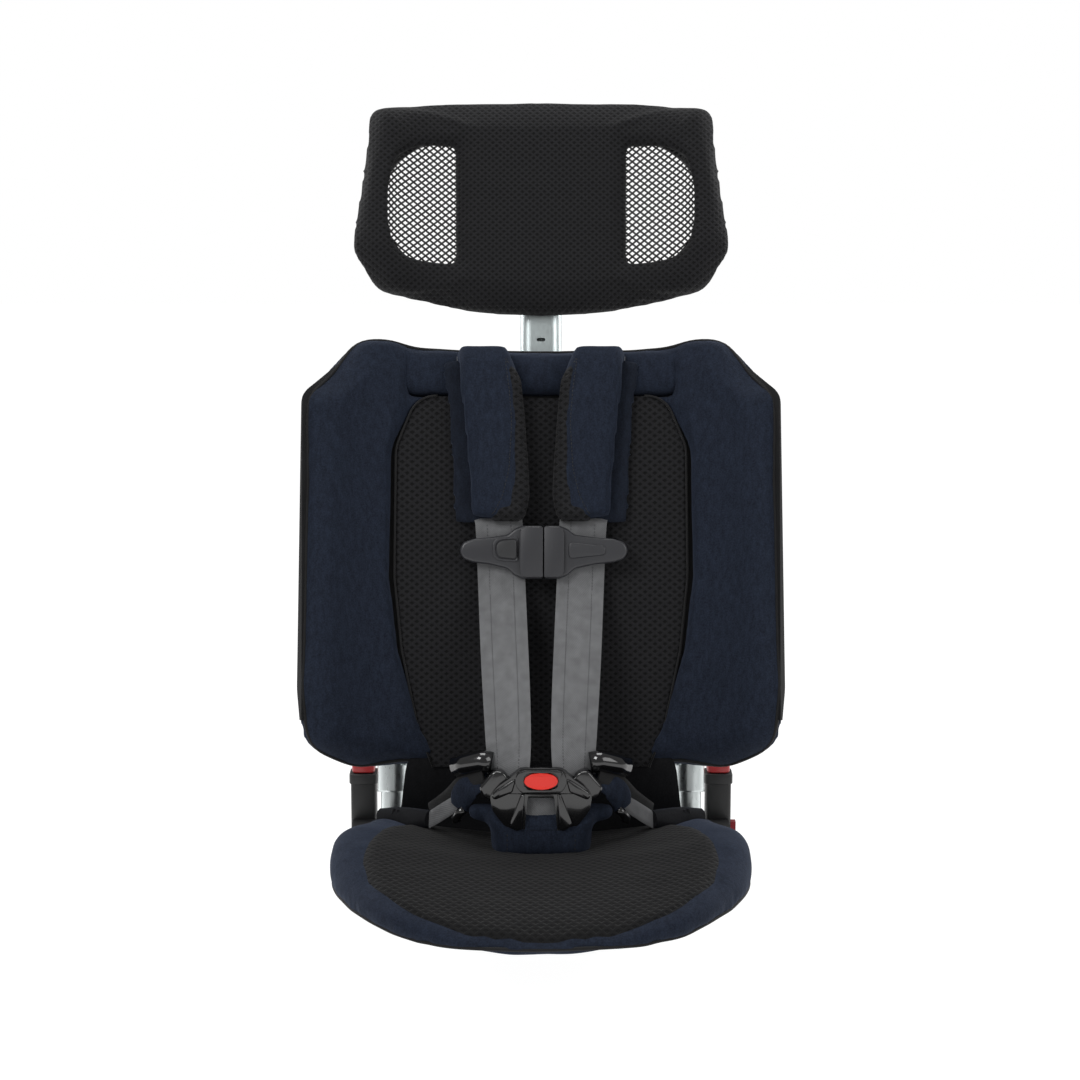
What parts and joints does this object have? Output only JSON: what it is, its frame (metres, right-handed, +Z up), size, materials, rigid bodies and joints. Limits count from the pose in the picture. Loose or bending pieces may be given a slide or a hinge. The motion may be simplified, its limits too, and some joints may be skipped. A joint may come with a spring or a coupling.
{
  "type": "convertible car seat",
  "caption": "Folding travel child car seat with aluminium frame, mesh sling seat and back, padded wings, height-adjusting head rest, five-point harness and lower anchor connectors.",
  "frame": {"origin": "on the floor under the centre of the overall box", "axes": "+Z up, the seat faces -Y, +X to the viewer's right"},
  "size_m": [0.3868, 0.3887, 0.6539],
  "materials": {
    "frame_aluminium": "brushed clear anodised",
    "frame_plastic": "fine moulded grain",
    "steel": "zinc plated",
    "foot_rubber": "matte",
    "grip_plastic": "satin",
    "buckle_gloss": "polished black",
    "release_red": "polished red",
    "tab_red": "woven ribbon",
    "clip_grey": "satin dark grey",
    "navy_cover": "heathered navy knit",
    "black_mesh": "black spacer mesh",
    "window_net": "open net",
    "webbing_grey": "light grey polyester webbing",
    "webbing_black": "black polyester webbing"
  },
  "bodies": {
    "base": {"floor_loop": "frame_aluminium", "seat_rim": "frame_aluminium", "rail_sockets": "frame_plastic", "hinge_pins": "steel", "base_feet": "foot_rubber", "seat_mounts": "frame_plastic", "crotch_bar": "steel", "seat_cover": "black_mesh", "lower_mesh": "black_mesh", "crotch_strap": "webbing_black", "crotch_pad": "navy_cover", "buckle_housing": "buckle_gloss", "red_tab": "tab_red", "upright_left": "frame_aluminium", "upright_right": "frame_aluminium", "hinge_bracket_left": "frame_plastic", "hinge_bracket_right": "frame_plastic", "lap_strap_left": "webbing_grey", "lap_strap_right": "webbing_grey", "lap_sleeve_left": "webbing_black", "lap_sleeve_right": "webbing_black", "anchor_holder_left": "frame_plastic", "anchor_holder_right": "frame_plastic", "anchor_body_left": "buckle_gloss", "anchor_body_right": "buckle_gloss"},
    "backrest": {"hinge_knuckles": "frame_aluminium", "back_crossbar": "frame_aluminium", "back_shell": "frame_plastic", "harness_bar": "steel", "post_housing": "frame_plastic", "release_guide": "frame_plastic", "cover_hem": "navy_cover", "top_band": "navy_cover", "back_mesh": "black_mesh", "chest_clip_left": "clip_grey", "back_tube_left": "frame_aluminium", "back_tube_right": "frame_aluminium", "wing_pad_left": "navy_cover", "wing_pad_right": "navy_cover", "shoulder_pad_left": "navy_cover", "shoulder_pad_right": "navy_cover", "shoulder_strap_left": "webbing_grey", "shoulder_strap_right": "webbing_grey"},
    "headrest": {"headrest_post": "frame_aluminium", "headrest_shell": "frame_plastic", "headrest_pad": "black_mesh", "headrest_nets": "window_net"},
    "headrest_lock": {"headrest_button": "grip_plastic"},
    "fold_grip": {"fold_release": "grip_plastic"},
    "clip_half": {"chest_clip_right": "clip_grey"},
    "clip_key": {"chest_clip_button": "clip_grey"},
    "buckle_key": {"buckle_button": "release_red"},
    "tongue_left": {"buckle_tongue_left": "buckle_gloss", "hip_link_left": "buckle_gloss"},
    "anchor_key_left": {"anchor_button_left": "release_red"},
    "anchor_catch_left": {"anchor_jaw_left": "steel"},
    "tongue_right": {"buckle_tongue_right": "buckle_gloss", "hip_link_right": "buckle_gloss"},
    "anchor_key_right": {"anchor_button_right": "release_red"},
    "anchor_catch_right": {"anchor_jaw_right": "steel"}
  },
  "joints": [
    {"name": "back_fold", "type": "hinge", "parent": "base", "child": "backrest", "pos_m": [0, 0.0837, 0.144], "axis": [1, 0, 0], "range_deg": [0, 65], "deforming": ["shoulder_strap_left", "shoulder_strap_right", "lower_mesh", "cover_hem"]},
    {"name": "headrest_height", "type": "slide", "parent": "backrest", "child": "headrest", "axis": [0, 0.2079, 0.9781], "range_m": [-0.022, 0.066]},
    {"name": "headrest_release", "type": "slide", "parent": "backrest", "child": "headrest_lock", "axis": [0, -0.9781, 0.2079], "range_m": [0, 0.0025], "stiffness_N_per_m": 500, "springref_m": -0.002},
    {"name": "fold_release_pull", "type": "slide", "parent": "backrest", "child": "fold_grip", "axis": [0, 0.2079, 0.9781], "range_m": [0, 0.008], "stiffness_N_per_m": 600, "springref_m": -0.004},
    {"name": "chest_clip_open", "type": "slide", "parent": "backrest", "child": "clip_half", "axis": [1, 0, 0], "range_m": [0, 0.02]},
    {"name": "chest_clip_press", "type": "slide", "parent": "backrest", "child": "clip_key", "axis": [0, 0.9781, -0.2079], "range_m": [0, 0.0015], "stiffness_N_per_m": 500, "springref_m": -0.002},
    {"name": "buckle_press", "type": "slide", "parent": "base", "child": "buckle_key", "axis": [0, 1, 0], "range_m": [0, 0.003], "stiffness_N_per_m": 500, "springref_m": -0.002},
    {"name": "tongue_pull_left", "type": "slide", "parent": "base", "child": "tongue_left", "axis": [-0.766, 0, 0.6428], "range_m": [0, 0.018], "deforming": ["lap_strap_left"]},
    {"name": "anchor_press_left", "type": "slide", "parent": "base", "child": "anchor_key_left", "axis": [0, 0, -1], "range_m": [0, 0.004], "stiffness_N_per_m": 200, "springref_m": -0.002},
    {"name": "anchor_jaw_swing_left", "type": "hinge", "parent": "base", "child": "anchor_catch_left", "pos_m": [-0.1475, 0.1012, 0.064], "axis": [1, 0, 0], "range_deg": [0, 13]},
    {"name": "tongue_pull_right", "type": "slide", "parent": "base", "child": "tongue_right", "axis": [0.766, 0, 0.6428], "range_m": [0, 0.018], "deforming": ["lap_strap_right"]},
    {"name": "anchor_press_right", "type": "slide", "parent": "base", "child": "anchor_key_right", "axis": [0, 0, -1], "range_m": [0, 0.004], "stiffness_N_per_m": 200, "springref_m": -0.002},
    {"name": "anchor_jaw_swing_right", "type": "hinge", "parent": "base", "child": "anchor_catch_right", "pos_m": [0.1475, 0.1012, 0.064], "axis": [1, 0, 0], "range_deg": [0, 13]}
  ],
  "couplings": [
    {"joint": "anchor_jaw_swing_left", "follows": "anchor_press_left", "rad_per_m": 50},
    {"joint": "anchor_jaw_swing_right", "follows": "anchor_press_right", "rad_per_m": 50}
  ]
}
